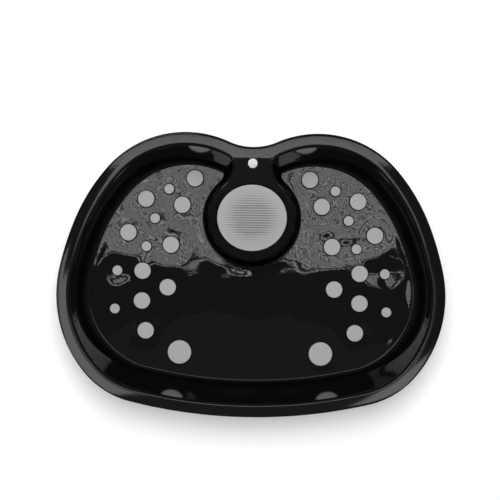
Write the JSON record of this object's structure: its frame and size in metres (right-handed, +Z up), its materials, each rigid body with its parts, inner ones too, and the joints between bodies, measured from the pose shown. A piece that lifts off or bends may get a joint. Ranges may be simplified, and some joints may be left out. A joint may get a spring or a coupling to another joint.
{
  "type": "foot spa basin",
  "caption": "Bean-shaped black foot basin with a flat rim and hanging lip, a sloped island carrying a ribbed footrest pad, round massage studs in the floor and a hanging hole.",
  "frame": {"origin": "on the table, under the middle of the outline", "axes": "+X to the right across the width, +Y towards the notch at the back, +Z up"},
  "size_m": [0.4796, 0.3504, 0.112],
  "materials": {
    "basin_plastic": "gloss moulded black",
    "pad_rubber": "satin light grey, ribbed",
    "stud_rubber": "satin light grey",
    "foot_rubber": "matt black"
  },
  "bodies": {
    "basin": {"basin_shell": "basin_plastic", "massage_stud_right_01": "stud_rubber", "massage_stud_right_02": "stud_rubber", "massage_stud_right_03": "stud_rubber", "massage_stud_right_04": "stud_rubber", "massage_stud_right_05": "stud_rubber", "massage_stud_right_06": "stud_rubber", "massage_stud_right_07": "stud_rubber", "massage_stud_right_08": "stud_rubber", "massage_stud_right_09": "stud_rubber", "massage_stud_right_10": "stud_rubber", "massage_stud_right_11": "stud_rubber", "massage_stud_right_12": "stud_rubber", "massage_stud_right_13": "stud_rubber", "massage_stud_right_14": "stud_rubber", "massage_stud_right_15": "stud_rubber", "massage_stud_left_01": "stud_rubber", "massage_stud_left_02": "stud_rubber", "massage_stud_left_03": "stud_rubber", "massage_stud_left_04": "stud_rubber", "massage_stud_left_05": "stud_rubber", "massage_stud_left_06": "stud_rubber", "massage_stud_left_07": "stud_rubber", "massage_stud_left_08": "stud_rubber", "massage_stud_left_09": "stud_rubber", "massage_stud_left_10": "stud_rubber", "massage_stud_left_11": "stud_rubber", "massage_stud_left_12": "stud_rubber", "massage_stud_left_13": "stud_rubber", "massage_stud_left_14": "stud_rubber", "massage_stud_left_15": "stud_rubber", "rubber_foot_back_right": "foot_rubber", "rubber_foot_middle_right": "foot_rubber", "rubber_foot_front_right": "foot_rubber", "rubber_foot_back_left": "foot_rubber", "rubber_foot_middle_left": "foot_rubber", "rubber_foot_front_left": "foot_rubber"},
    "footrest": {"footrest_pad": "pad_rubber"}
  },
  "joints": [
    {"name": "footrest_lift", "type": "slide", "parent": "basin", "child": "footrest", "axis": [0, -0.3355, 0.9421], "range_m": [0, 0.03]}
  ]
}
